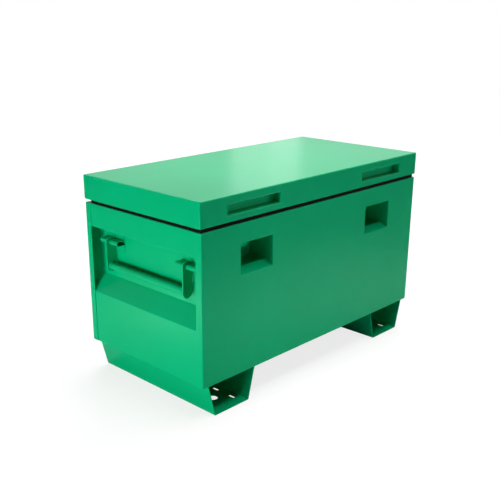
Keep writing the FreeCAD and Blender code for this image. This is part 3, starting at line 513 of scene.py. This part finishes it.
def sill_beads(form, side):
    """Beads up the ends of a padlock pocket's sloping sill."""
    low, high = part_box(f"lock_pocket_{side}")
    start = Vector((0, low.y + SINK, low.z + GAUGE))
    for x in (low.x + GAUGE, high.x - GAUGE):
        place = start + Vector((x, 0, 0))
        add_bead(form, [place, place + Vector((0, SILL_RUN, SILL_RISE))], FINE_BEAD)


def chest_welds():
    """Beads and stitches on the skids, bracket feet, handle recesses and padlock pockets."""
    form = bmesh.new()
    for side in SIDES:
        recess_beads(form, side)
        sill_beads(form, side)
        low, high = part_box(f"skid_{side}")
        for x in (low.x, high.x):
            add_stitches(form, (x, low.y, high.z), (x, high.y, high.z),
                         count=5, length=40 * MM, radius=HEAVY_BEAD)
        low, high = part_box(f"lock_pocket_{side}")
        inner = low.y + SINK
        add_stitches(form, (low.x, inner, high.z), (high.x, inner, high.z),
                     count=3, length=30 * MM, radius=BEAD)
        for end in ("front", "rear"):
            low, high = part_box(f"handle_bracket_{side}_{end}")
            wall = high.x if side == "left" else low.x
            for z in (low.z, high.z):
                add_stitches(form, (wall, low.y, z), (wall, high.y, z),
                             count=2, length=26 * MM, radius=BEAD)
    finish_welds(form, "welds_chest", "chest")


def lid_welds():
    """Stitches along the stiffeners' feet and round the hasps' feet."""
    form = bmesh.new()
    for place in ("left", "middle", "right"):
        low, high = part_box(f"lid_stiffener_{place}")
        under = high.z - SINK
        for x in (low.x, high.x):
            add_stitches(form, (x, low.y, under), (x, high.y, under),
                         count=5, length=30 * MM, radius=BEAD)
    for side in SIDES:
        low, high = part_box(f"hasp_{side}")
        under = high.z - SINK
        for x in (low.x, high.x):
            add_stitches(form, (x, low.y, under), (x, high.y, under),
                         count=1, length=30 * MM, radius=HEAVY_BEAD)
    finish_welds(form, "welds_lid", "lid")


# ---------------------------------------------------------------- studio
FLOOR_SIZE = 24.0
FLOOR_DROP = 0.5 * MM
FLOOR_ALBEDO = 0.35
FLOOR_GLOW_NEAR = 0.80
FLOOR_GLOW_FAR = 1.0
FLOOR_NEAR, FLOOR_FAR = 1.0, 2.6
FLOOR_SHADE = 1.2  # the seen floor's albedo, as a share of what its near glow lacks
SKY_FOR_LIGHT = 0.0
SKY_IN_GLOSS = 0.6
LAMPS = {
    # name: (place, aim, size, watts, spread in degrees)
    "overhead": ((0.8, 0.5, 3.4), (0.2, 0.1, 0.0), (3.2, 3.0), 126, 180),
    "overhead_back": ((1.2, 1.8, 3.0), (0.0, 0.1, 0.76), (2.0, 1.6), 2.1, 50),
    "overhead_narrow": ((0.0, 0.2, 3.4), (-0.1, 0.0, 0.76), (1.4, 1.0), 2.0, 35),
    "left": ((-4.5, 0.2, 0.4), (-0.6, 0.0, 0.4), (1.2, 0.65), 26, 180),
    "left_far": ((-6.0, 0.2, 0.4), (-0.6, 0.0, 0.35), (1.2, 0.65), 60, 180),
    "left_near": ((-1.7, -0.4, 0.2), (-0.6, -0.2, 0.4), (0.3, 0.3), 3.3, 180),
    "left_strip": ((-2.6, 0.0, 0.14), (-0.6, 0.0, 0.35), (0.8, 0.25), 12.5, 180),
    "left_strip_low": ((-1.9, 0.1, 0.06), (-0.6, 0.0, 0.4), (0.6, 0.1), 1.3, 180),
    "pool_left": ((-1.35, 0.45, 0.9), (-1.35, 0.45, 0.0), (0.4, 0.6), 6.6, 50),
    "front": ((-0.2, -5.5, 0.4), (0.0, -0.3, 0.4), (2.0, 0.6), 16, 180),
    "front_right": ((3.4, -5.8, 0.4), (0.0, -0.3, 0.4), (2.8, 0.7), 82, 180),
    "pool_front": ((0.2, -0.95, 0.9), (0.2, -0.95, 0.0), (0.9, 0.3), 1.4, 50),
    "pool_front_left": ((-0.3, -1.3, 2.2), (-0.3, -1.3, 0.0), (1.0, 0.8), 11, 60),
    "pool_front_right": ((0.95, -0.95, 2.2), (0.95, -0.95, 0.0), (0.5, 0.5), 3.5, 40),
    "corner_glint": ((-2.3, -2.3, 0.2), (-0.6, -0.3, 0.6), (0.6, 0.3), 1.5, 180),
    "edge_glint": ((2.2, -1.2, 2.9), (0.0, -0.2, 0.7), (1.2, 1.2), 4, 180),
    "behind": ((2.75, 2.45, 1.9), (0.0, 0.0, 0.7), (0.6, 1.8), 1.6, 180),
    "behind_wide": ((2.2, 3.4, 1.7), (0.0, 0.0, 0.7), (3.0, 1.5), 0.5, 180),
    "behind_right": ((3.5, 1.8, 1.7), (0.0, 0.0, 0.7), (2.0, 1.5), 1.5, 180),
}


def softbox(name, place, aim, size, power, spread):
    data = bpy.data.lights.new(name, "AREA")
    data.shape = "RECTANGLE"
    data.size, data.size_y = size
    data.energy = power
    data.spread = math.radians(spread)
    lamp = link(bpy.data.objects.new(name, data))
    lamp.location = place
    face_towards(lamp, aim)


def studio_floor():
    """A plain floor that lights the box from below, seen as white with the box's soft shadow."""
    bpy.ops.mesh.primitive_plane_add(size=FLOOR_SIZE, location=(0, 0, -FLOOR_DROP))
    floor = bpy.context.object
    floor.name = "floor"
    look = Shading("floor")
    look.set(Roughness=0.9, Specular_IOR_Level=0.0, Emission_Color=(1, 1, 1, 1))
    seen = look.add("ShaderNodeLightPath").outputs["Is Camera Ray"]

    away = look.add("ShaderNodeVectorMath", operation="LENGTH")
    look.wire(look.place, away.inputs[0])
    glow = look.spread(away.outputs["Value"], FLOOR_GLOW_NEAR, FLOOR_GLOW_FAR,
                       FLOOR_NEAR, FLOOR_FAR)
    shown = look.add("ShaderNodeMath", operation="MULTIPLY")
    look.wire(glow, shown.inputs[0])
    look.wire(seen, shown.inputs[1])
    look.wire(shown.outputs[0], look.shader.inputs["Emission Strength"])

    tone = look.add("ShaderNodeMix", data_type="RGBA")
    shade = FLOOR_SHADE * (1 - FLOOR_GLOW_NEAR)
    tone.inputs["A"].default_value = (FLOOR_ALBEDO, FLOOR_ALBEDO, FLOOR_ALBEDO, 1)
    tone.inputs["B"].default_value = (shade, shade, shade, 1)
    look.wire(seen, tone.inputs["Factor"])
    look.wire(tone.outputs["Result"], look.shader.inputs["Base Color"])
    floor.data.materials.append(look.material)


def studio_sky():
    """White to the camera, softer in reflections, and dim as a light."""
    world = bpy.data.worlds.new("studio")
    world.use_nodes = True
    bpy.context.scene.world = world
    tree = world.node_tree
    sky = tree.nodes["Background"]
    sky.inputs["Color"].default_value = (1, 1, 1, 1)
    ray = tree.nodes.new("ShaderNodeLightPath")
    level = None
    for kind, strength in (("Is Glossy Ray", SKY_IN_GLOSS), ("Is Camera Ray", 1.0)):
        mix = tree.nodes.new("ShaderNodeMix")
        mix.inputs["A"].default_value = SKY_FOR_LIGHT
        mix.inputs["B"].default_value = strength
        tree.links.new(ray.outputs[kind], mix.inputs["Factor"])
        if level is not None:
            tree.links.new(level, mix.inputs["A"])
        level = mix.outputs["Result"]
    tree.links.new(level, sky.inputs["Strength"])


# ---------------------------------------------------------------- build
add_camera()
for node_name in nodes:
    dress_node(node_name)
lid_pressing()
chest_panels()
for side in SIDES:
    handle_welds(side)
chest_welds()
lid_welds()
studio_floor()
studio_sky()
for lamp_name, settings in LAMPS.items():
    softbox(lamp_name, *settings)
bpy.context.scene.view_settings.view_transform = "Standard"
